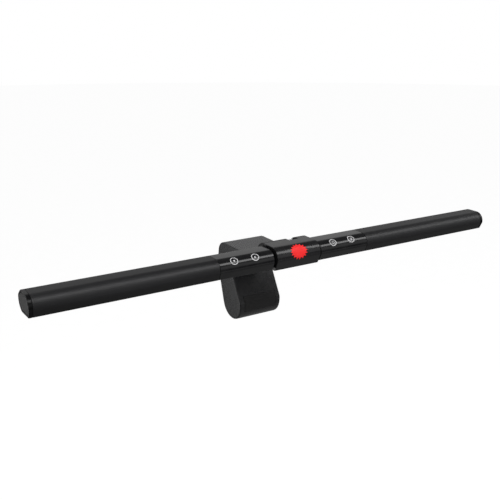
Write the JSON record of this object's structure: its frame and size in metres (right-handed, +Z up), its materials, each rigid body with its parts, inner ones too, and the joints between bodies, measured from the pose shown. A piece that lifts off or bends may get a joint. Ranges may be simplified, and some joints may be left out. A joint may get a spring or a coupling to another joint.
{
  "type": "monitor light bar",
  "caption": "Slim LED light bar that tilts in a ring clamp and hangs on a monitor's top edge, held by a sprung counterweight leg.",
  "frame": {"origin": "middle of the underside of the top pad, where the clamp rests on the monitor's top edge", "axes": "+X along the bar, to the right of someone who sits at the monitor; +Y towards the monitor's back; +Z up"},
  "size_m": [0.45, 0.1034, 0.0891],
  "materials": {
    "wing_aluminium": "black anodised aluminium extrusion, satin",
    "touch_gloss": "semi-gloss black polycarbonate with pale ring marks",
    "sink_aluminium": "bare extruded aluminium",
    "fastener_steel": "zinc plated steel",
    "axle_steel": "blackened steel, turned",
    "socket_steel": "plated socket shell",
    "led_board": "white lamp board with yellow phosphor lamps",
    "white_plastic": "moulded white plastic",
    "diffuser_acrylic": "frosted opal acrylic",
    "circuit_board": "green solder mask",
    "cap_plastic": "moulded black plastic",
    "end_plate": "dark grey anodised plate",
    "wire_insulation": "red insulation",
    "clamp_frame": "black powder coated casting",
    "sleeve_plastic": "fine textured black plastic",
    "emblem_red": null,
    "spring_steel": "spring wire",
    "cover_plastic": "fine textured black plastic",
    "silicone": "soft black silicone",
    "weight_iron": "cast iron block"
  },
  "bodies": {
    "clamp": {"arm_frame": "clamp_frame", "ring_cover": "sleeve_plastic", "emblem_inlay": "emblem_red", "ring_screw_left": "fastener_steel", "ring_screw_right": "fastener_steel", "friction_shoe": "white_plastic", "friction_spring": "spring_steel", "friction_grub_screw": "fastener_steel", "arm_cover": "cover_plastic", "arm_cover_screw_left": "fastener_steel", "arm_cover_screw_right": "fastener_steel", "top_pad": "silicone", "lip_pad": "silicone", "hinge_bush_left": "white_plastic", "hinge_bush_right": "white_plastic", "hinge_spring": "spring_steel"},
    "bar": {"axle_tube": "axle_steel", "main_board": "circuit_board", "usb_socket": "socket_steel", "wing_housing_left": "wing_aluminium", "touch_housing_left": "touch_gloss", "heat_sink_left": "sink_aluminium", "heat_sink_screw_left": "fastener_steel", "led_strip_left": "led_board", "reflector_left": "white_plastic", "diffuser_left": "diffuser_acrylic", "touch_board_left": "circuit_board", "end_cap_left": "cap_plastic", "end_plate_left": "end_plate", "end_cap_screw_left_back": "fastener_steel", "end_cap_screw_left_front": "fastener_steel", "lead_left": "wire_insulation", "axle_screw_left": "fastener_steel", "wing_housing_right": "wing_aluminium", "touch_housing_right": "touch_gloss", "heat_sink_right": "sink_aluminium", "heat_sink_screw_right": "fastener_steel", "led_strip_right": "led_board", "reflector_right": "white_plastic", "diffuser_right": "diffuser_acrylic", "touch_board_right": "circuit_board", "end_cap_right": "cap_plastic", "end_plate_right": "end_plate", "end_cap_screw_right_back": "fastener_steel", "end_cap_screw_right_front": "fastener_steel", "lead_right": "wire_insulation", "axle_screw_right": "fastener_steel"},
    "leg": {"leg_shell": "cover_plastic", "leg_back_plate": "cover_plastic", "counterweight": "weight_iron", "back_plate_screw_left": "fastener_steel", "back_plate_screw_right": "fastener_steel", "leg_pad": "silicone", "hinge_pin": "axle_steel"}
  },
  "joints": [
    {"name": "bar_tilt", "type": "hinge", "parent": "clamp", "child": "bar", "pos_m": [0, -0.0375, 0.0153], "axis": [1, 0, 0], "range_deg": [-30, 30]},
    {"name": "leg_swing", "type": "hinge", "parent": "clamp", "child": "leg", "pos_m": [0, 0.0388, -0.0095], "axis": [1, 0, 0], "range_deg": [0, 25], "stiffness_Nm_per_rad": 0.08, "springref_deg": -63.03, "deforming": ["hinge_spring"]}
  ]
}
